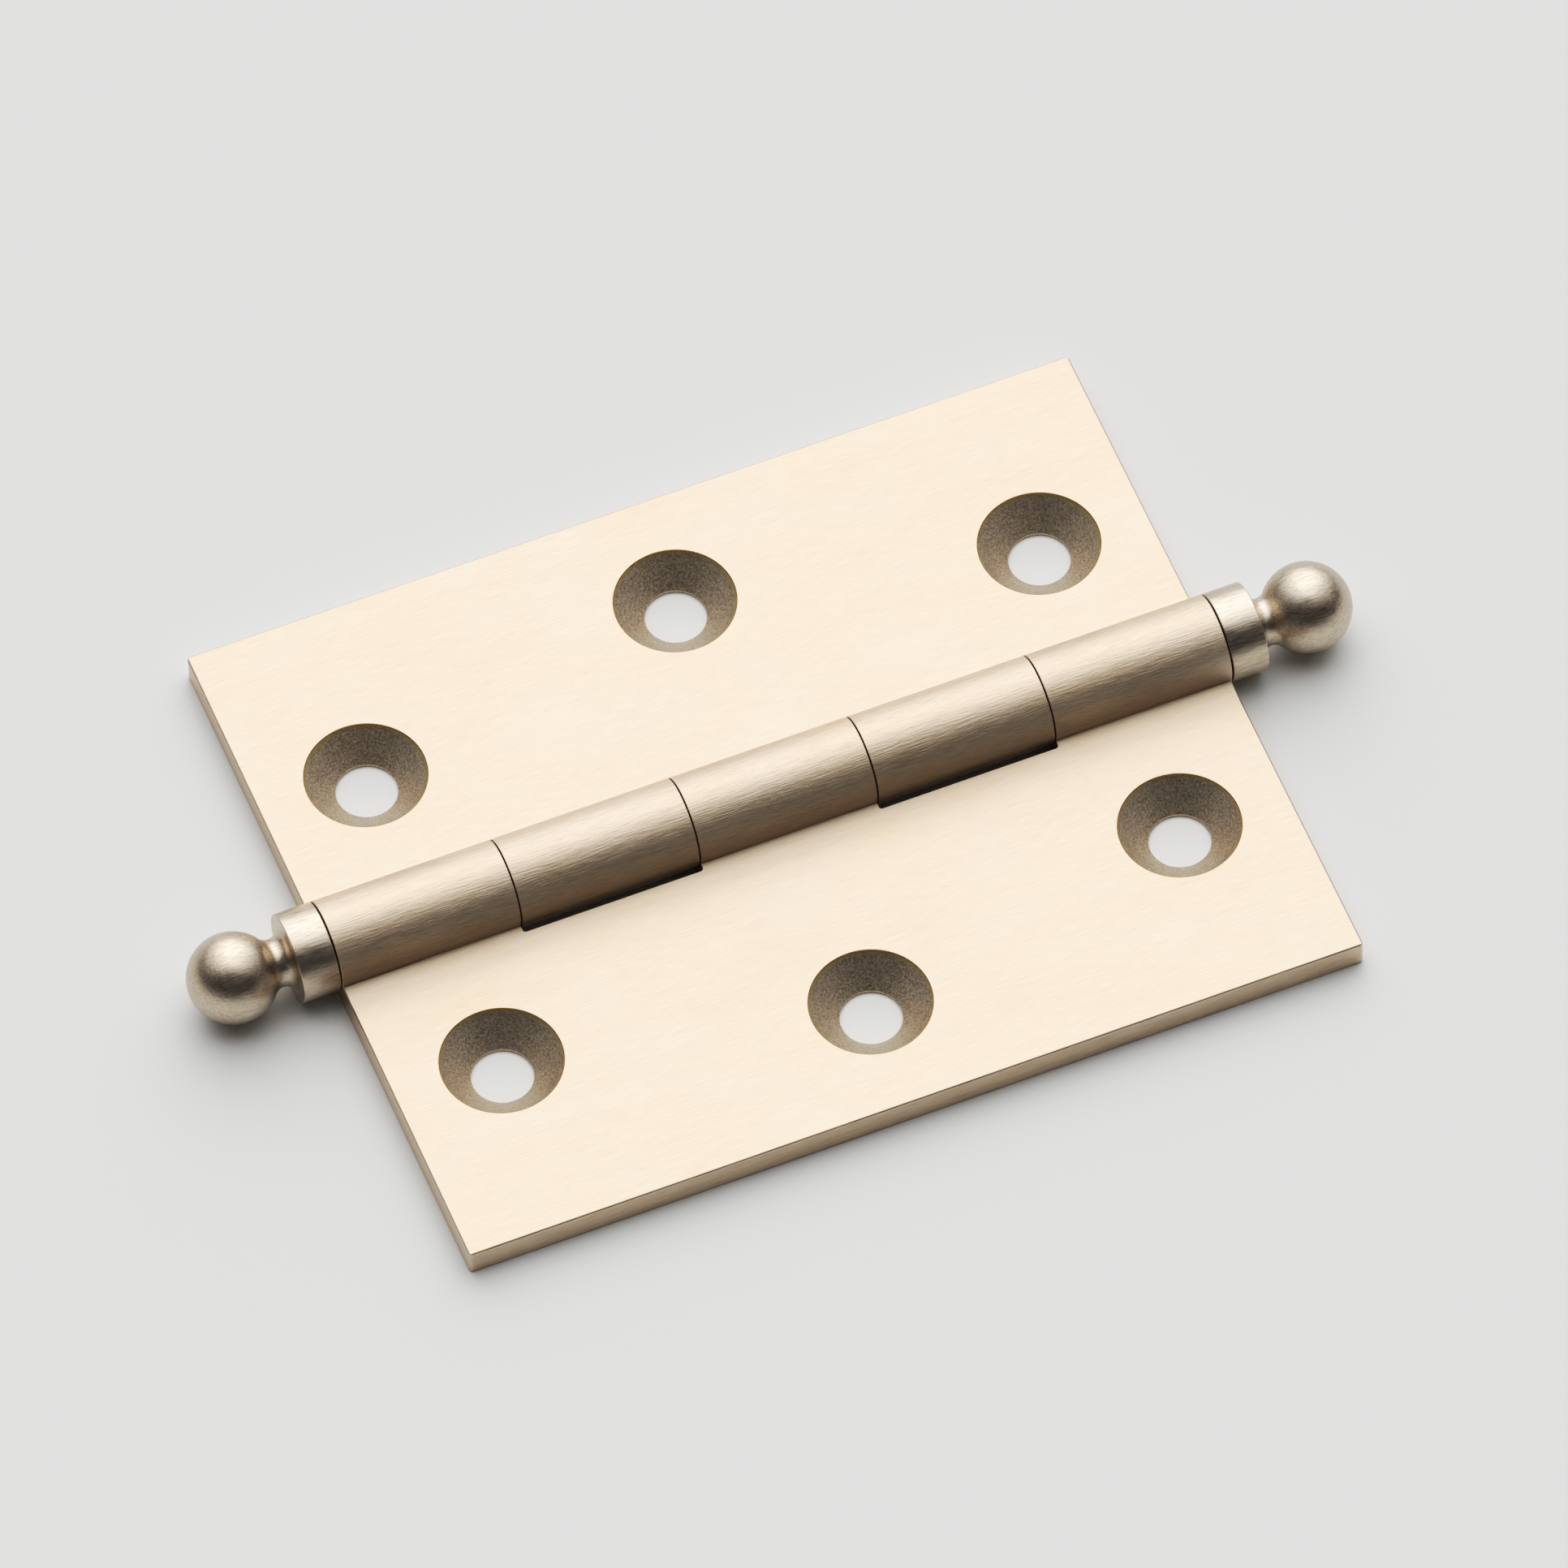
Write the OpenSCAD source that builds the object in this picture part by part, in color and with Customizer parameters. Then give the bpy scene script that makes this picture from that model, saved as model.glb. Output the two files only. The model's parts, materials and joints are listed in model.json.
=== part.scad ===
// Butt hinge with ball finials, lying open. The pin runs along X and both leaves lie in XY, with
// their backs and the bottom of the barrel on Z = 0. The front leaf, at -Y, carries the end and
// middle knuckles and holds the pin still. The back leaf, at +Y, carries the others and turns.

/* [Leaves] */
// Length of the hinge along the pin, without the finials
hinge_len = 63.5; // [60:0.5:76]
// Width over both leaves when the hinge lies open
open_width = 51.5; // [48:0.5:60]
// Thickness of a leaf
leaf_t = 2.1; // [1.8:0.1:2.6]
// Height of the pin's axis above the leaves, half the gap between them when the hinge is closed
axis_rise = 1; // [0.8:0.1:1.4]

/* [Knuckles] */
// Number of knuckles along the barrel, an odd number
knuckle_count = 5; // [3:2:7]
// Gap between one knuckle and the next
knuckle_gap = 0.1; // [0.06:0.02:0.2]
// Gap between the barrel and the notch that a leaf has for the other leaf's knuckle
notch_gap = 0.38; // [0.25:0.01:0.5]
// Radius in the corners of a notch
notch_corner_r = 0.2; // [0.1:0.05:0.3]

/* [Screw holes] */
// Distance between the two outer screw holes of a leaf
screw_spacing = 48.3; // [40:0.1:50]
// Distance from the pin's axis to the outer screw holes
outer_screw_y = 12.3; // [11:0.1:14]
// Distance from the pin's axis to the middle screw hole
middle_screw_y = 17.4; // [15:0.1:18]
// Radius of the hole at the leaf's back
screw_hole_r = 2.1; // [1.6:0.05:2.3]
// Radius of the countersink at the leaf's upper face
countersink_r = 4.15; // [3.6:0.05:4.6]
// Depth of the straight rim above the cone
countersink_rim = 0.1; // [0.05:0.05:0.4]
// Height of the straight hole below the cone
screw_hole_land = 0.25; // [0.2:0.05:0.4]

/* [Pin] */
// Radius of the pin
pin_r = 1.6; // [1.2:0.05:1.8]
// Clearance all round between the pin and the knuckles that turn on it
pin_clearance = 0.05; // [0.03:0.01:0.08]
// Length of each finial's stud inside the end knuckle
stud_len = 5; // [3:0.5:6]
// Gap between the pin's end and the stud
stud_gap = 0.5; // [0.2:0.1:1]

/* [Finials] */
// Seam between the end knuckle and the collar
collar_gap = 0.1; // [0.06:0.02:0.2]
// Length of the collar
collar_len = 2.6; // [2:0.1:4]
// Radius of the hollow between the collar and the ball
cove_r = 0.85; // [0.6:0.05:0.95]
// Radius of the neck where it is thinnest
neck_r = 1.66; // [1.5:0.02:1.9]

/* [Hidden] */
$fn = 96;

nickel = [0.86, 0.81, 0.74];
steel = [0.62, 0.62, 0.63];

// The barrel's bottom is level with the leaves' backs, and the ball has the barrel's radius.
barrel_r = leaf_t + axis_rise;
ball_r = barrel_r;
axis_z = barrel_r;
knuckle_len = hinge_len / knuckle_count;
pin_len = hinge_len - 2 * (stud_len + stud_gap);
// Past a face, so that a cut goes through it
past = 1;

// Knuckle numbers of each leaf, counted from the -X end
front_knuckles = [for (i = [0:2:knuckle_count - 1]) i];
back_knuckles = [for (i = [1:2:knuckle_count - 1]) i];

// Finial, measured from the end of the barrel: the cove is tangent to the collar's face and the ball
collar_end = collar_gap + collar_len;
cove_x = collar_end + cove_r;
cove_centre_r = neck_r + cove_r;
cove_to_ball = sqrt(pow(ball_r + cove_r, 2) - pow(cove_centre_r, 2));
ball_x = cove_x + cove_to_ball;
neck_end = cove_x + cove_to_ball * cove_r / (ball_r + cove_r);

// Start of knuckle i along X
function knuckle_x(i) = i * knuckle_len - hinge_len / 2;

// Half of the gap to a neighbour, or nothing at the free ends of the barrel
function side_gap(i) = (i == 0 || i == knuckle_count) ? 0 : knuckle_gap / 2;

// A cylinder along +X that starts at x on the pin's axis
module on_axis(x, length, r) {
    translate([x, 0, axis_z]) rotate([0, 90, 0]) cylinder(h = length, r = r);
}

// One knuckle, cut short by half a gap where it has a neighbour
module knuckle(i) {
    x0 = knuckle_x(i) + side_gap(i);
    x1 = knuckle_x(i + 1) - side_gap(i + 1);
    on_axis(x0, x1 - x0, barrel_r);
}

// The room for one knuckle of the other leaf, open towards -Y and rounded in its two corners
module notch(i) {
    x0 = i == 0 ? knuckle_x(0) - past : knuckle_x(i) - knuckle_gap / 2;
    x1 = i == knuckle_count - 1 ? knuckle_x(i + 1) + past : knuckle_x(i + 1) + knuckle_gap / 2;
    bottom = -past;
    height = 2 * barrel_r + 2 * past;
    near_y = -barrel_r - past;
    far_y = barrel_r + notch_gap;
    r = notch_corner_r;
    translate([x0, near_y, bottom]) cube([x1 - x0, far_y - r - near_y, height]);
    translate([x0 + r, near_y, bottom]) cube([x1 - x0 - 2 * r, far_y - near_y, height]);
    for (x = [x0 + r, x1 - r]) translate([x, far_y - r, bottom]) cylinder(h = height, r = r);
}

// Straight hole, cone and straight rim, from the leaf's back to its upper face
module screw_hole(x, y) {
    cone_top = leaf_t - countersink_rim;
    translate([x, y, -past]) cylinder(h = leaf_t + past, r = screw_hole_r);
    translate([x, y, screw_hole_land])
        cylinder(h = cone_top - screw_hole_land, r1 = screw_hole_r, r2 = countersink_r);
    translate([x, y, cone_top]) cylinder(h = countersink_rim + past, r = countersink_r);
}

// A leaf on the +Y side: its own knuckles, notches for the others, the pin's bore and the holes
module leaf(own, others, bore_r) {
    difference() {
        union() {
            translate([-hinge_len / 2, 0, 0]) cube([hinge_len, open_width / 2, leaf_t]);
            for (i = own) knuckle(i);
        }
        for (i = others) notch(i);
        on_axis(-hinge_len / 2 - past, hinge_len + 2 * past, bore_r);
        for (side = [-1, 1]) screw_hole(side * screw_spacing / 2, outer_screw_y);
        screw_hole(0, middle_screw_y);
    }
}

// The leaf that holds the pin: the end and middle knuckles
module front_leaf() {
    color(nickel) mirror([0, 1, 0]) leaf(front_knuckles, back_knuckles, pin_r);
}

// The leaf that turns on the pin: the knuckles between
module back_leaf() {
    color(nickel) leaf(back_knuckles, front_knuckles, pin_r + pin_clearance);
}

// Plain rod between the two studs
module hinge_pin() {
    color(steel) on_axis(-pin_len / 2, pin_len, pin_r);
}

// Stud, collar, hollow neck and ball, turned about Z and measured from the barrel's end at Z = 0
module finial() {
    translate([0, 0, -stud_len]) cylinder(h = stud_len + collar_gap, r = pin_r);
    translate([0, 0, collar_gap]) cylinder(h = collar_len, r = barrel_r);
    rotate_extrude() difference() {
        translate([0, collar_end]) square([cove_centre_r, neck_end - collar_end]);
        translate([cove_centre_r, cove_x]) circle(r = cove_r);
    }
    translate([0, 0, ball_x]) sphere(r = ball_r);
}

// The finial at the -X end of the barrel
module left_finial() {
    color(nickel) translate([-hinge_len / 2, 0, axis_z]) rotate([0, -90, 0]) finial();
}

// The finial at the +X end of the barrel
module right_finial() {
    color(nickel) translate([hinge_len / 2, 0, axis_z]) rotate([0, 90, 0]) finial();
}

front_leaf();
back_leaf();
hinge_pin();
left_finial();
right_finial();
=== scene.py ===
"""Looks of the butt hinge with ball finials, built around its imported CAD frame."""
import json
import math

import bmesh
import bpy
from mathutils import Matrix, Vector


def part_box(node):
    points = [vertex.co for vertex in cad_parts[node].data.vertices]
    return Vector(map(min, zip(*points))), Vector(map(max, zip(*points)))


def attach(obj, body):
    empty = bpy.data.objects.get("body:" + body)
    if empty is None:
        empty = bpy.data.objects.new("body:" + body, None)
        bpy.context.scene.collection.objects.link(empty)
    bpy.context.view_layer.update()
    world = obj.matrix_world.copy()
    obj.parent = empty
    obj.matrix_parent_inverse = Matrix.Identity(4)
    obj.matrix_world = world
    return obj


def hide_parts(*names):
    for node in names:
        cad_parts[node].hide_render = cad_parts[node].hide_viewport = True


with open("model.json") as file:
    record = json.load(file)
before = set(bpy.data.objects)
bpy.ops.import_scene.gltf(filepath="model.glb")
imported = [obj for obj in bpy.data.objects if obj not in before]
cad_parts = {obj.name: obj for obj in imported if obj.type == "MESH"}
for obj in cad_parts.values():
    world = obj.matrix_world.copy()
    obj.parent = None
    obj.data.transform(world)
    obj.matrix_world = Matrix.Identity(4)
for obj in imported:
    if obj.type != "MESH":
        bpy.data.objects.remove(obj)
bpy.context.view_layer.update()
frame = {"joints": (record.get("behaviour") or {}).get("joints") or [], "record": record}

# ---------------------------------------------------------------- sizes, in millimetres
# Meshes are made in millimetres and shrunk to metres at the end.
MM = 0.001
MOUNTS = {m["name"]: m for m in frame["record"]["mounts"]}
LEAF_LOW, LEAF_HIGH = (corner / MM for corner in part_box("front_leaf"))
PIN_LOW, PIN_HIGH = (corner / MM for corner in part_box("hinge_pin"))
FINIAL_LOW, FINIAL_HIGH = (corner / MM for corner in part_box("right_finial"))

AXIS_Z = frame["joints"][0]["pos_m"][2] / MM
BARREL_R = AXIS_Z
HALF_LENGTH = LEAF_HIGH.x
HALF_WIDTH = -LEAF_LOW.y
KNUCKLES = 5
KNUCKLE_LENGTH = 2 * HALF_LENGTH / KNUCKLES
KNUCKLE_GAP = 0.1
LEAF_T = 2.1
NOTCH_GAP = 0.38
NOTCH_Y = BARREL_R + NOTCH_GAP
NOTCH_CORNER_R = 0.2
PIN_R = (PIN_HIGH.z - PIN_LOW.z) / 2
PIN_CLEARANCE = 0.05

HOLE_R = MOUNTS["back_middle_screw"]["dims"]["r_mm"]
HOLE_LAND = MOUNTS["back_middle_screw"]["dims"]["length_mm"]
MIDDLE_HOLE_Y = MOUNTS["back_middle_screw"]["pos_m"][1] / MM
OUTER_HOLE_Y = MOUNTS["back_outer_screws"]["pos_m"][1] / MM
OUTER_HOLE_X = MOUNTS["back_outer_screws"]["dims"]["spacing_x_mm"] / 2
COUNTERSINK_R = 4.15
COUNTERSINK_RIM = 0.1
HOLES = [(-OUTER_HOLE_X, OUTER_HOLE_Y), (0, MIDDLE_HOLE_Y), (OUTER_HOLE_X, OUTER_HOLE_Y)]

COLLAR_GAP = 0.1
COLLAR_START = HALF_LENGTH + COLLAR_GAP
COLLAR_LENGTH = 2.6
COLLAR_END = COLLAR_START + COLLAR_LENGTH
COLLAR_EDGE = 0.08
COVE_R = 0.85
NECK_R = 1.66
BALL_R = BARREL_R
BALL_X = FINIAL_HIGH.x - BALL_R
STUD_START = FINIAL_LOW.x
CHAMFER = 0.3          # at the ends of the pin and the studs

TOP_EDGE = 0.15        # width of the broken edges round a leaf's top
BACK_EDGE = 0.12       # round its back
LEAF_EDGE = 0.32       # and at its corners
KNUCKLE_EDGE = 0.03    # at the ends of a knuckle
RIM_EDGE = 0.04        # round the countersinks
BLEND_Y = 4.7          # where a leaf's top starts to rise towards the barrel
BLEND_R = 9            # radius of that rise
BLEND_TURN = 14        # and how many degrees it turns through
PAST = 1               # how far a cutter runs past what it cuts
ROUND = 144            # sides of the barrel and the pin
HOLE_ROUND = 96        # sides of a screw hole
SHARP = math.radians(25)    # a corner that turns through more than this is an edge
TINY = 0.0002               # points closer than this are one point


# ---------------------------------------------------------------- mesh helpers
def new_object(name, bm):
    """A mesh object from a bmesh, which is used up."""
    mesh = bpy.data.meshes.new(name)
    bmesh.ops.recalc_face_normals(bm, faces=bm.faces)
    bm.to_mesh(mesh)
    bm.free()
    made = bpy.data.objects.new(name, mesh)
    bpy.context.scene.collection.objects.link(made)
    return made


def add_bar(bm, sections):
    """A closed bar through sections, each a list of the same number of points."""
    rings = [[bm.verts.new(point) for point in section] for section in sections]
    bm.faces.new(rings[0])
    bm.faces.new(rings[-1])
    for ring, following in zip(rings, rings[1:]):
        for i in range(len(ring)):
            j = (i + 1) % len(ring)
            bm.faces.new((ring[i], ring[j], following[j], following[i]))


def add_lathe(bm, profile, place, sides):
    """A closed turned solid. profile holds (radius, height) points from the axis back to the axis."""
    rings = []
    for radius, height in profile:
        if radius == 0:
            rings.append([bm.verts.new(place @ Vector((0, 0, height)))] * sides)
            continue
        turns = [2 * math.pi * (i + 0.5) / sides for i in range(sides)]
        points = [(radius * math.cos(t), radius * math.sin(t), height) for t in turns]
        rings.append([bm.verts.new(place @ Vector(p)) for p in points])
    for ring, following in zip(rings, rings[1:]):
        for i in range(sides):
            j = (i + 1) % sides
            corners = (ring[i], ring[j], following[j], following[i])
            bm.faces.new(list(dict.fromkeys(corners)))


def arc(centre, radius, start, end, steps):
    """Points on an arc about (r, h), with angles in radians from the r direction."""
    turns = [start + (end - start) * i / steps for i in range(steps + 1)]
    return [(centre[0] + radius * math.cos(t), centre[1] + radius * math.sin(t)) for t in turns]


def along_pin(direction=1):
    """Places a turned solid with its height along +X or -X on the pin's axis."""
    turn = Matrix.Rotation(direction * math.pi / 2, 4, "Y")
    return Matrix.Translation((0, 0, AXIS_Z)) @ turn


def evaluated(target):
    """Applies all of an object's modifiers to its mesh."""
    graph = bpy.context.evaluated_depsgraph_get()
    mesh = bpy.data.meshes.new_from_object(target.evaluated_get(graph))
    target.modifiers.clear()
    target.data = mesh
    return target


def boolean(target, tool, operation):
    """Joins or cuts target with tool, and removes the tool."""
    step = target.modifiers.new("cut", "BOOLEAN")
    step.operation = operation
    step.solver = "EXACT"
    step.object = tool
    evaluated(target)
    bpy.data.objects.remove(tool)


def to_metres(target):
    """Shrinks a mesh made in millimetres."""
    target.data.transform(Matrix.Scale(MM, 4))


# ---------------------------------------------------------------- leaves
def knuckle_ends(index):
    """Where knuckle `index` starts and ends along X, less half a gap beside a neighbour."""
    start = index * KNUCKLE_LENGTH - HALF_LENGTH
    end = start + KNUCKLE_LENGTH
    if index > 0:
        start += KNUCKLE_GAP / 2
    if index < KNUCKLES - 1:
        end -= KNUCKLE_GAP / 2
    return start, end


def notch_outline(index, side):
    """The room for the other leaf's knuckle, seen from above, with its inner corners rounded."""
    start = index * KNUCKLE_LENGTH - HALF_LENGTH - KNUCKLE_GAP / 2
    end = start + KNUCKLE_LENGTH + KNUCKLE_GAP
    if index == 0:
        start -= PAST
    if index == KNUCKLES - 1:
        end += PAST
    r = NOTCH_CORNER_R
    outline = [(start, -BARREL_R - PAST), (end, -BARREL_R - PAST)]
    outline += arc((end - r, NOTCH_Y - r), r, 0, math.pi / 2, 6)
    outline += arc((start + r, NOTCH_Y - r), r, math.pi / 2, math.pi, 6)
    return [(x, side * y) for x, y in outline]


def screw_cutter(bm, x, y):
    """Straight hole, cone and straight rim."""
    cone_top = LEAF_T - COUNTERSINK_RIM
    profile = [(0, -PAST), (HOLE_R, -PAST), (HOLE_R, HOLE_LAND), (COUNTERSINK_R, cone_top)]
    profile += [(COUNTERSINK_R, LEAF_T + PAST), (0, LEAF_T + PAST)]
    add_lathe(bm, profile, Matrix.Translation((x, y, 0)), HOLE_ROUND)


def rod(start, end, radius):
    """A bmesh with a plain rod on the pin's axis, a boolean's tool."""
    bm = bmesh.new()
    profile = [(0, start), (radius, start), (radius, end), (0, end)]
    add_lathe(bm, profile, along_pin(), ROUND)
    return bm


def pin_distance(point):
    """How far a point is from the pin's axis."""
    return math.hypot(point.y, point.z - AXIS_Z)


def hole_distance(point, side):
    """How far a point is from the middle of the nearest screw hole on that side, seen from above."""
    return min(math.hypot(point.x - x, point.y - side * y) for x, y in HOLES)


def edge_break(edge, side, bore_r):
    """How wide a sharp edge is broken, by where it lies. Inner corners stay as they are."""
    middle = (edge.verts[0].co + edge.verts[1].co) / 2
    at_bore = abs(pin_distance(middle) - bore_r) < 0.05
    under_barrel = abs(middle.y) < 0.5 and middle.z < 0.1
    if edge.calc_face_angle_signed(0) < SHARP or at_bore or under_barrel:
        return 0
    in_notch = abs(middle.y) < NOTCH_Y + 0.1 and abs(middle.x) < HALF_LENGTH - 0.1
    at_back = middle.z < 0.01
    on_barrel = abs(pin_distance(middle) - BARREL_R) < 0.02 and not at_back
    if in_notch or on_barrel:
        return KNUCKLE_EDGE
    if hole_distance(middle, side) < COUNTERSINK_R + 0.1:
        return RIM_EDGE
    if at_back:
        return BACK_EDGE
    return TOP_EDGE if middle.z > LEAF_T - 0.01 else LEAF_EDGE


def merge_close(target):
    """Removes the faces of no size that a bevel leaves where its width falls to nothing."""
    bm = bmesh.new()
    bm.from_mesh(target.data)
    bmesh.ops.remove_doubles(bm, verts=bm.verts, dist=TINY)
    bmesh.ops.dissolve_degenerate(bm, edges=bm.edges, dist=TINY)
    bm.to_mesh(target.data)
    bm.free()


def break_edges(target, side, bore_r):
    """Rounds the sharp edges, each by its own width."""
    bm = bmesh.new()
    bm.from_mesh(target.data)
    weight = bm.edges.layers.float.new("bevel_weight_edge")
    for edge in bm.edges:
        if len(edge.link_faces) == 2:
            edge[weight] = edge_break(edge, side, bore_r) / LEAF_EDGE
            edge.smooth = edge[weight] > 0 or edge.calc_face_angle(0) < SHARP
    for face in bm.faces:
        face.smooth = True
    bm.to_mesh(target.data)
    bm.free()
    bevel = target.modifiers.new("edges", "BEVEL")
    bevel.limit_method = "WEIGHT"
    bevel.width = LEAF_EDGE
    bevel.segments = 3
    bevel.use_clamp_overlap = False
    evaluated(target)
    merge_close(target)
    normals = target.modifiers.new("normals", "WEIGHTED_NORMAL")
    normals.keep_sharp = True
    normals.weight = 100
    evaluated(target)


def leaf_section(x, side):
    """A leaf's outline across the pin, with its top rising a little where it meets the barrel."""
    inner = 0.05    # the leaves stop just short of each other under the pin
    top = -math.pi / 2
    turn = math.radians(BLEND_TURN)
    rise = arc((BLEND_Y, LEAF_T + BLEND_R), BLEND_R, top, top - turn, 8)
    outline = [(inner, 0), (HALF_WIDTH, 0), (HALF_WIDTH, LEAF_T)] + rise + [(inner, rise[-1][1])]
    return [(x, side * y, z) for y, z in outline]


def leaf(name, side, own, others, bore_r):
    """A leaf with its own knuckles, notches for the others, the pin's bore and three screw holes."""
    bm = bmesh.new()
    stations = [-HALF_LENGTH] + [x for x, y in HOLES] + [HALF_LENGTH]
    add_bar(bm, [leaf_section(x, side) for x in stations])
    made = new_object(name, bm)
    for index in own:
        boolean(made, new_object("knuckle", rod(*knuckle_ends(index), BARREL_R)), "UNION")
    cutters = bmesh.new()
    for index in others:
        outline = notch_outline(index, side)
        heights = (-PAST, 2 * BARREL_R + PAST)
        add_bar(cutters, [[(x, y, z) for x, y in outline] for z in heights])
    for x, y in HOLES:
        screw_cutter(cutters, x, side * y)
    boolean(made, new_object("cutters", cutters), "DIFFERENCE")
    bore = rod(-HALF_LENGTH - PAST, HALF_LENGTH + PAST, bore_r)
    boolean(made, new_object("bore", bore), "DIFFERENCE")
    break_edges(made, side, bore_r)
    to_metres(made)
    return made


# ---------------------------------------------------------------- pin and finials
def hinge_pin():
    """The rod inside the knuckles, with its ends chamfered."""
    start, end = PIN_LOW.x, PIN_HIGH.x
    profile = [(0, start), (PIN_R - CHAMFER, start), (PIN_R, start + CHAMFER)]
    profile += [(PIN_R, end - CHAMFER), (PIN_R - CHAMFER, end), (0, end)]
    bm = bmesh.new()
    add_lathe(bm, profile, along_pin(), ROUND)
    made = new_object("pin", bm)
    to_metres(made)
    return made


def finial_profile():
    """Stud, collar, cove and ball, as (radius, distance along X) from the stud's end to the tip."""
    edge = COLLAR_EDGE
    inset = BARREL_R - edge
    cove_x = COLLAR_END + COVE_R
    cove_centre = (NECK_R + COVE_R, cove_x)
    lean = math.atan2(BALL_X - cove_x, -cove_centre[0])
    ball_start = lean - math.pi
    profile = [(0, STUD_START), (PIN_R - CHAMFER, STUD_START), (PIN_R, STUD_START + CHAMFER)]
    profile += [(PIN_R, COLLAR_START)]
    profile += arc((inset, COLLAR_START + edge), edge, -math.pi / 2, 0, 4)
    profile += arc((inset, COLLAR_END - edge), edge, 0, math.pi / 2, 4)
    profile += arc(cove_centre, COVE_R, -math.pi / 2, lean - 2 * math.pi, 20)
    profile += arc((0, BALL_X), BALL_R, ball_start, math.pi / 2, 60)[1:-1]
    profile += [(0, BALL_X + BALL_R)]
    return profile


def finial(name, direction):
    """A finial in one turned piece, with its ball towards +X or -X."""
    bm = bmesh.new()
    add_lathe(bm, finial_profile(), along_pin(direction), ROUND)
    made = new_object(name, bm)
    for face in made.data.polygons:
        face.use_smooth = True
    made.data.set_sharp_from_angle(angle=math.radians(30))
    to_metres(made)
    return made


# ---------------------------------------------------------------- materials
NICKEL = (0.55, 0.437, 0.318)
EDGE_NICKEL = (0.6, 0.48, 0.355)
FINIAL_NICKEL = (0.54, 0.452, 0.355)
COUNTERSUNK = (0.51, 0.42, 0.315)
BRASS = (0.56, 0.4, 0.16)
STEEL = (0.52, 0.52, 0.53)
WARM = (0.995, 0.965, 0.93)     # how the plating drifts in colour from place to place
COOL = (1.005, 1.025, 1.05)
DARK = 0.5                      # how dark the marks in the plating get, and how light
LIGHT = 1.4
NOISE = (0.3, 0.7)              # the range that nearly all of a noise's values lie in


def aim(azimuth, elevation):
    """The unit vector at that azimuth, in degrees from +Y towards +X, and elevation."""
    a, e = math.radians(azimuth), math.radians(elevation)
    return (math.sin(a) * math.cos(e), math.cos(a) * math.cos(e), math.sin(e))


class Nodes:
    """Adds nodes to the tree of a material or the world, and links them."""

    def __init__(self, tree):
        self.tree = tree
        self.shader = tree.nodes.get("Principled BSDF")

    def add(self, kind, **inputs):
        """A node with its inputs set to values or linked to other nodes' outputs."""
        node = self.tree.nodes.new(kind)
        for key, value in inputs.items():
            self.put(node.inputs[key.replace("_", " ")], value)
        return node

    def put(self, socket, value):
        """Links an output to a socket, or sets the socket to a value."""
        if isinstance(value, bpy.types.NodeSocket):
            self.tree.links.new(value, socket)
        else:
            socket.default_value = value

    def noise(self, sizes, detail=3, roughness=0.5, distortion=0, shift=(0, 0, 0)):
        """Noise whose grain is sizes = (x, y, z) millimetres, in the object's own space."""
        scale = [1 / (size * MM) for size in sizes]
        place = self.tree.nodes.new("ShaderNodeTexCoord").outputs["Object"]
        mapped = self.add("ShaderNodeMapping", Vector=place, Location=shift, Scale=scale)
        made = self.add("ShaderNodeTexNoise", Vector=mapped.outputs[0], Scale=1, Detail=detail)
        self.put(made.inputs["Roughness"], roughness)
        self.put(made.inputs["Distortion"], distortion)
        return made.outputs["Fac"]

    def spread(self, value, low, high, to_low, to_high, smooth=False):
        """Maps a range of one value to a range of another, held at its ends."""
        made = self.tree.nodes.new("ShaderNodeMapRange")
        made.interpolation_type = "SMOOTHSTEP" if smooth else "LINEAR"
        for key, number in zip(("Value", 1, 2, 3, 4), (value, low, high, to_low, to_high)):
            self.put(made.inputs[key], number)
        return made.outputs["Result"]

    def mix(self, share, first, second):
        """The first colour, turning into the second as share goes from 0 to 1."""
        made = self.tree.nodes.new("ShaderNodeMix")
        made.data_type = "RGBA"
        for key, value in (("Factor", share), ("A", first), ("B", second)):
            socket = [i for i in made.inputs if i.name == key and i.enabled][0]
            self.put(socket, value)
        return [o for o in made.outputs if o.enabled][0]

    def maths(self, operation, first, second):
        made = self.tree.nodes.new("ShaderNodeMath")
        made.operation = operation
        self.put(made.inputs[0], first)
        self.put(made.inputs[1], second)
        return made.outputs[0]

    def along(self, vector, direction):
        """How far a vector goes in a direction."""
        made = self.tree.nodes.new("ShaderNodeVectorMath")
        made.operation = "DOT_PRODUCT"
        self.put(made.inputs[0], vector)
        self.put(made.inputs[1], direction)
        return made.outputs["Value"]

    def bump(self, height, depth):
        """Relief of `depth` millimetres from a height of 0 to 1."""
        made = self.add("ShaderNodeBump", Height=height, Strength=1.0, Distance=depth * MM)
        return made.outputs["Normal"]


def new_material(name):
    """A material with a Principled shader, as Blender makes it."""
    material = bpy.data.materials.new(name)
    material.use_nodes = True
    return material


def tone(colour, factors):
    """The colour with each channel times its factor, up to 1, and an alpha of 1."""
    return (*(min(1, c * f) for c, f in zip(colour, factors)), 1)


def shade(colour, factor):
    """The colour made darker or lighter."""
    return tone(colour, (factor, factor, factor))


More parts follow.
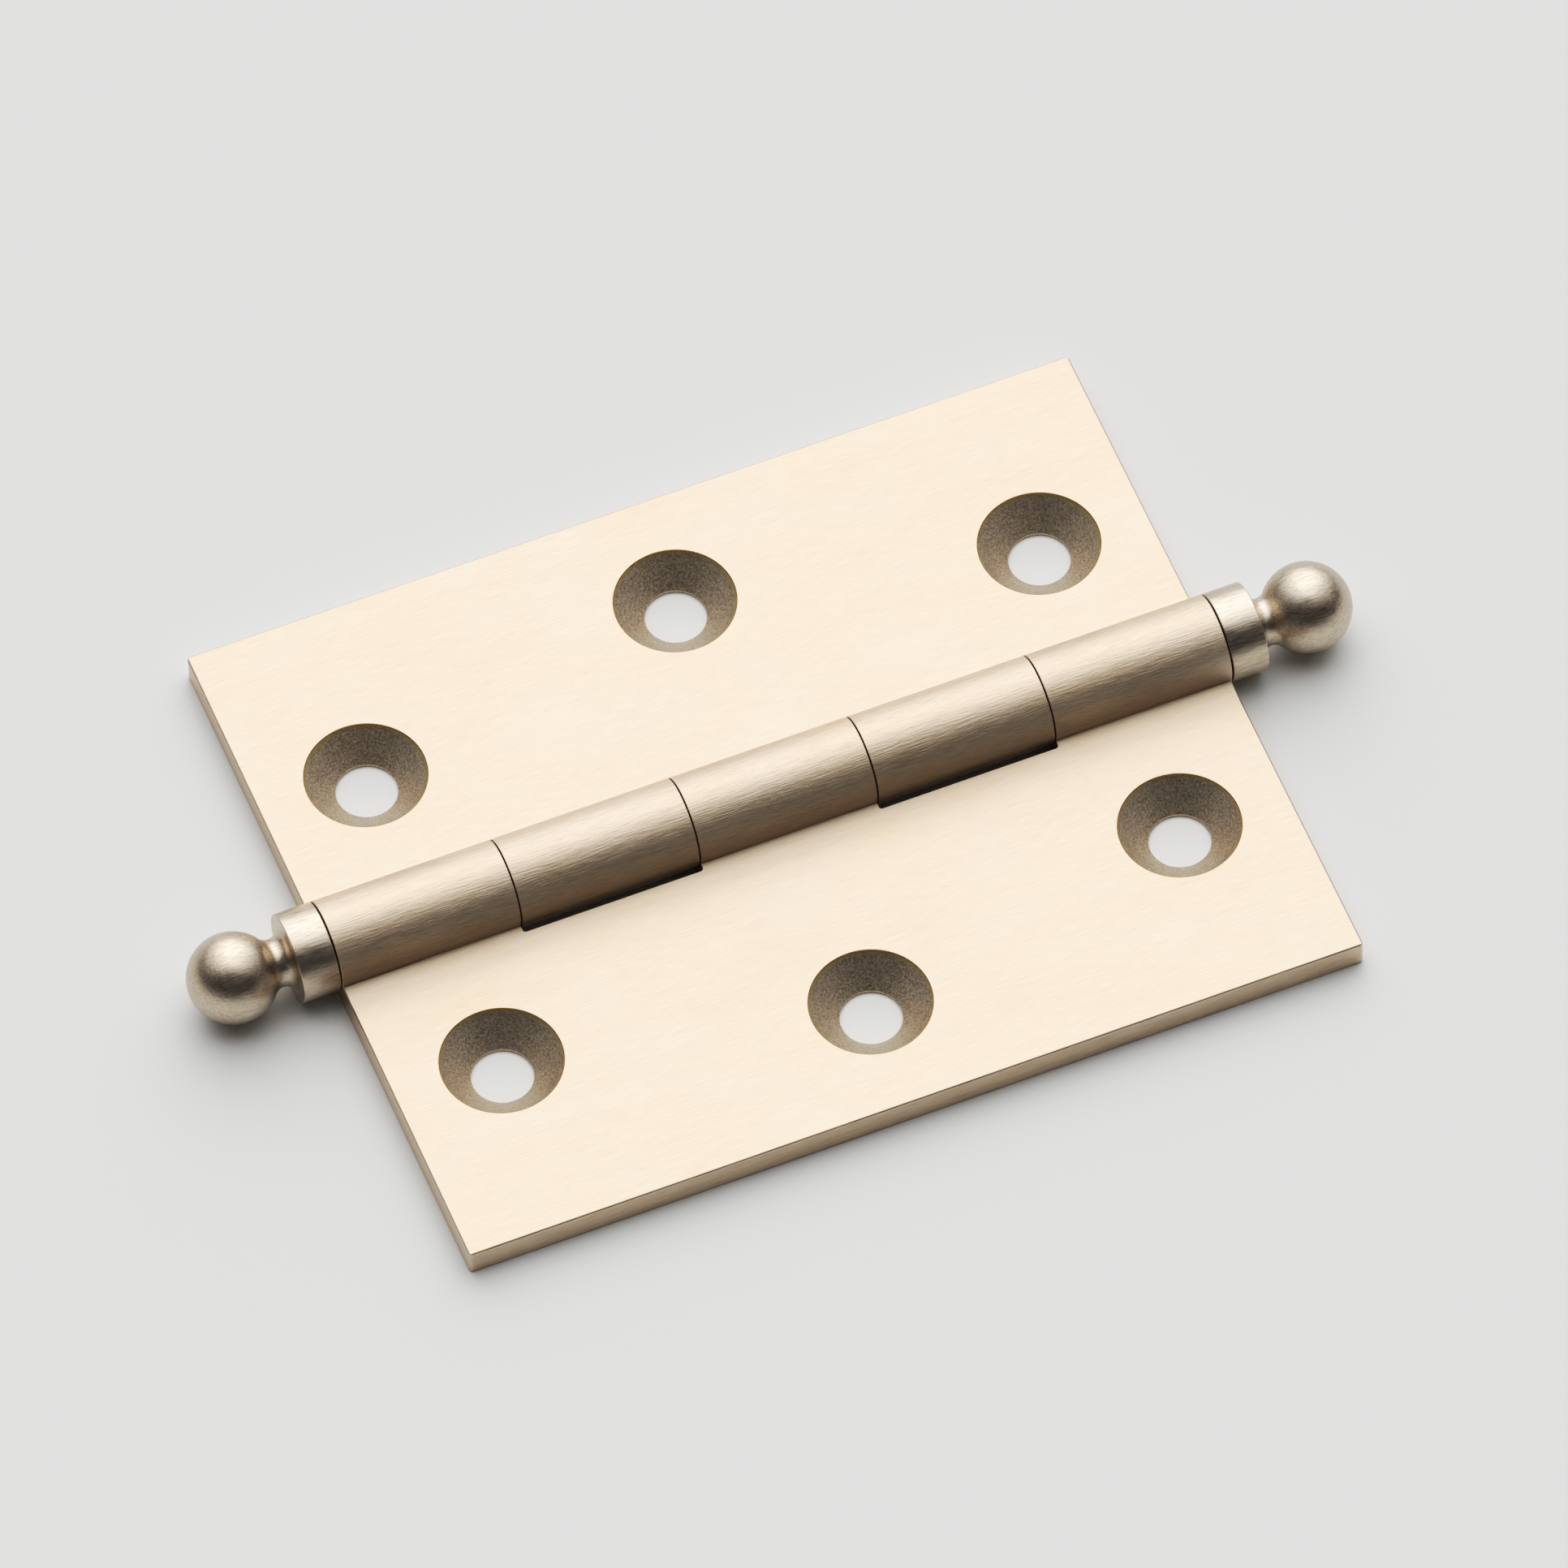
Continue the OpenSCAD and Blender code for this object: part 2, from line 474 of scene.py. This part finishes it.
def brushed(name, base, rough, stroke, relief, contrast, seed, wave=0.0, speck=0.0, drawn=0.0):
    """Satin metal with brush strokes along X. stroke = (length, width) and relief are millimetres.
    contrast is how much lighter and darker the strokes are, wave how far they bend, speck how dark
    its pores are, and drawn how much more it spreads the light across the strokes than along."""
    material = new_material(name)
    n = Nodes(material.node_tree)
    length, width = stroke
    cloud_size = (9, 5, 5)
    pore_size = (0.3, 0.16, 0.16)
    shift = (seed * 17.3, seed * 5.1, seed * 9.7)
    fine = n.noise((length, width, width), 4, 0.6, wave, shift)
    broad = n.noise((length * 3, width * 4, width * 4), 3, 0.5, wave, shift)
    cloud = n.noise(cloud_size, 4, 0.55, 0.3, shift)
    tint = n.mix(n.spread(cloud, *NOISE, 0, 1), tone(base, WARM), tone(base, COOL))
    tint = n.mix(n.spread(fine, 0.25, 0.5, contrast, 0), tint, shade(base, DARK))
    tint = n.mix(n.spread(fine, 0.5, 0.75, 0, contrast), tint, shade(base, LIGHT))
    if speck:
        dots = n.spread(n.noise(pore_size, 2, 0.5, 0, shift), 0.72, 0.8, 0, speck)
        tint = n.mix(dots, tint, shade(base, DARK))
    n.put(n.shader.inputs["Base Color"], tint)
    n.shader.inputs["Metallic"].default_value = 1
    swing = 0.05 * contrast
    streaks = n.spread(fine, *NOISE, rough - swing, rough + swing)
    patches = n.spread(broad, *NOISE, -0.7 * swing, 0.7 * swing)
    n.put(n.shader.inputs["Roughness"], n.maths("ADD", streaks, patches))
    height = n.maths("ADD", fine, n.maths("MULTIPLY", broad, 0.4))
    n.put(n.shader.inputs["Normal"], n.bump(height, relief))
    if drawn:
        n.shader.inputs["Anisotropic"].default_value = drawn
        n.shader.inputs["Anisotropic Rotation"].default_value = 0.25
        n.put(n.shader.inputs["Tangent"], n.add("ShaderNodeCombineXYZ", X=1).outputs[0])
    return material


def blasted(name, base, rough, grain, relief):
    """The rough, speckled metal inside a countersink, with faint rings left by the cutter. Its
    plating is worn through to brass near the rim."""
    material = new_material(name)
    n = Nodes(material.node_tree)
    swing = 0.06
    speckle = n.noise((grain, grain, grain), 3, 0.7)
    cloud = n.noise((1.2, 1.2, 0.6), 3, 0.6)
    rings = n.noise((3, 3, 0.06), 2, 0.6)
    tint = n.mix(n.spread(speckle, 0.35, 0.65, 0, 1), shade(base, DARK), shade(base, 1.3))
    tint = n.mix(n.spread(cloud, *NOISE, 0, 0.3), tint, shade(base, 0.7))
    tint = n.mix(n.spread(rings, 0.35, 0.65, 0, 0.25), tint, shade(base, 1.3))
    place = n.add("ShaderNodeTexCoord").outputs["Object"]
    worn_from = (LEAF_T - 0.28) * MM
    worn_to = (LEAF_T - 0.17) * MM
    worn = n.spread(n.along(place, aim(0, 90)), worn_from, worn_to, 0, 0.85)
    tint = n.mix(worn, tint, shade(BRASS, 1))
    n.put(n.shader.inputs["Base Color"], tint)
    n.shader.inputs["Metallic"].default_value = 1
    n.put(n.shader.inputs["Roughness"], n.spread(speckle, *NOISE, rough - swing, rough + swing))
    n.put(n.shader.inputs["Normal"], n.bump(speckle, relief))
    return material


def pin_material():
    """Bright drawn steel."""
    return brushed("steel", STEEL, rough=0.32, stroke=(3, 0.06), relief=0.002, contrast=0.2, seed=4)


def leaf_materials():
    """Face, barrel, cut edge, countersink and its worn rim, in the order of the leaf's slots."""
    face = brushed("leaf_face", NICKEL, rough=0.4, stroke=(1.6, 0.09), relief=0.002,
                   contrast=0.28, seed=1, wave=0.15, speck=0.4, drawn=0.7)
    barrel = brushed("barrel", NICKEL, rough=0.39, stroke=(1.3, 0.1), relief=0.03,
                     contrast=0.4, seed=2, wave=0.2, drawn=0.7)
    edge = brushed("leaf_edge", EDGE_NICKEL, rough=0.38, stroke=(2, 0.13), relief=0.012,
                   contrast=0.4, seed=3, wave=0.2)
    cone = blasted("countersink", COUNTERSUNK, rough=0.45, grain=0.14, relief=0.012)
    rim = brushed("countersink_rim", BRASS, rough=0.3, stroke=(2, 0.1), relief=0.002,
                  contrast=0.1, seed=6)
    return [face, barrel, edge, cone, rim]


def finial_material():
    """Nickel plating a little paler and less golden than the leaves'."""
    return brushed("finial", FINIAL_NICKEL, rough=0.33, stroke=(1, 0.11), relief=0.012,
                   contrast=0.8, seed=5, wave=0.3)


def paint_leaf(target, side, materials):
    """Gives each face of a leaf, which is in metres, the material of its surface."""
    barrel, edge, cone, rim = range(1, 5)
    for material in materials:
        target.data.materials.append(material)
    for face in target.data.polygons:
        middle = face.center / MM
        in_hole = hole_distance(middle, side) < COUNTERSINK_R + 0.01
        if in_hole and abs(face.normal.z) < 0.99:
            at_rim = middle.z > LEAF_T - COUNTERSINK_RIM
            face.material_index = rim if at_rim else cone
        elif pin_distance(middle) < BARREL_R + 0.02:
            face.material_index = barrel
        elif abs(face.normal.z) < 0.9:
            face.material_index = edge


# ---------------------------------------------------------------- scene
def place_camera():
    """A long lens from the front left, above the hinge. It looks at a point just off the middle
    of the leaves' tops, from a distance in millimetres."""
    azimuth, elevation, roll = (math.radians(a) for a in (-20.05, 55.88, -2.24))
    distance = 1569
    target = Vector((1.2, 0.9, LEAF_T))
    turn = Matrix.Rotation(azimuth, 4, "Z") @ Matrix.Rotation(math.pi / 2 - elevation, 4, "X")
    turn = turn @ Matrix.Rotation(roll, 4, "Z")
    back = turn.to_3x3() @ Vector((0, 0, 1))
    camera = bpy.data.objects.new("camera", bpy.data.cameras.new("camera"))
    camera.data.lens = 543
    camera.data.sensor_width = 36
    camera.data.clip_end = 10
    camera.matrix_world = Matrix.Translation((target + back * distance) * MM) @ turn
    bpy.context.scene.collection.objects.link(camera)
    bpy.context.scene.camera = camera


def studio():
    """A wide soft glow behind the hinge and over it, which fades out past the zenith, to both
    sides and near the horizon, in a dim room."""
    azimuth, elevation = 21, 44     # where the glow is strongest, before it fades
    glow = 3.8
    room = 0.055
    world = bpy.data.worlds.new("studio")
    bpy.context.scene.world = world
    world.use_nodes = True
    n = Nodes(world.node_tree)
    ray = n.add("ShaderNodeTexCoord").outputs["Generated"]
    over = n.spread(n.along(ray, aim(azimuth, elevation)), 0.05, 0.97, 0, 1)
    side = n.maths("ABSOLUTE", n.along(ray, aim(azimuth + 90, 0)), 0)
    level = n.maths("MULTIPLY", over, n.spread(side, 0, 1.2, 1, 0, True))
    behind = n.along(ray, aim(azimuth, 0))
    level = n.maths("MULTIPLY", level, n.spread(behind, -0.36, 0.0, 0, 1, True))
    height = n.along(ray, aim(0, 90))
    level = n.maths("MULTIPLY", level, n.spread(height, 0.05, 0.45, 0.1, 1))
    level = n.maths("ADD", n.maths("MULTIPLY", level, glow), room)
    n.put(n.tree.nodes["Background"].inputs["Strength"], level)
    n.tree.nodes["Background"].inputs["Color"].default_value = (1, 1, 1, 1)


def film():
    """The picture's tone curve: a slight toe, and a soft shoulder above the mid greys. Its points
    are pairs of a linear light level and the level it is shown at."""
    settings = bpy.context.scene.view_settings
    settings.view_transform = "Standard"
    settings.use_curve_mapping = True
    curves = settings.curve_mapping
    white = 1.8
    curves.white_level = (white, white, white)
    toe = ((0.06, 0.044), (0.14, 0.117), (0.25, 0.24))
    shoulder = ((0.38, 0.38), (0.635, 0.565), (0.93, 0.725), (1.2, 0.84), (1.5, 0.947))
    for light, shown in toe + shoulder:
        curves.curves[3].points.new(light / white, shown)
    curves.update()


def floor():
    """A pale, matt floor, three metres wide, that the hinge lies on."""
    bm = bmesh.new()
    half = 1.5
    corners = [(-half, -half), (half, -half), (half, half), (-half, half)]
    bm.faces.new([bm.verts.new((x, y, 0)) for x, y in corners])
    made = new_object("floor", bm)
    material = new_material("floor")
    shader = material.node_tree.nodes["Principled BSDF"]
    shader.inputs["Base Color"].default_value = (0.785, 0.789, 0.775, 1)
    shader.inputs["Roughness"].default_value = 0.8
    made.data.materials.append(material)


place_camera()
floor()
front = leaf("leaf_front", -1, (0, 2, 4), (1, 3), PIN_R)
back = leaf("leaf_back", 1, (1, 3), (0, 2, 4), PIN_R + PIN_CLEARANCE)
pin = hinge_pin()
left = finial("finial_left", -1)
right = finial("finial_right", 1)

surfaces = leaf_materials()
paint_leaf(front, -1, surfaces)
paint_leaf(back, 1, surfaces)
turned = finial_material()
left.data.materials.append(turned)
right.data.materials.append(turned)
pin.data.materials.append(pin_material())

for piece, node, body, slot in (
    (front, "front_leaf", "fixed_leaf", "leaf_nickel"),
    (back, "back_leaf", "turning_leaf", "leaf_nickel"),
    (pin, "hinge_pin", "fixed_leaf", "pin_steel"),
    (left, "left_finial", "fixed_leaf", "finial_nickel"),
    (right, "right_finial", "fixed_leaf", "finial_nickel"),
):
    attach(piece, body)
    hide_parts(node)

studio()
film()
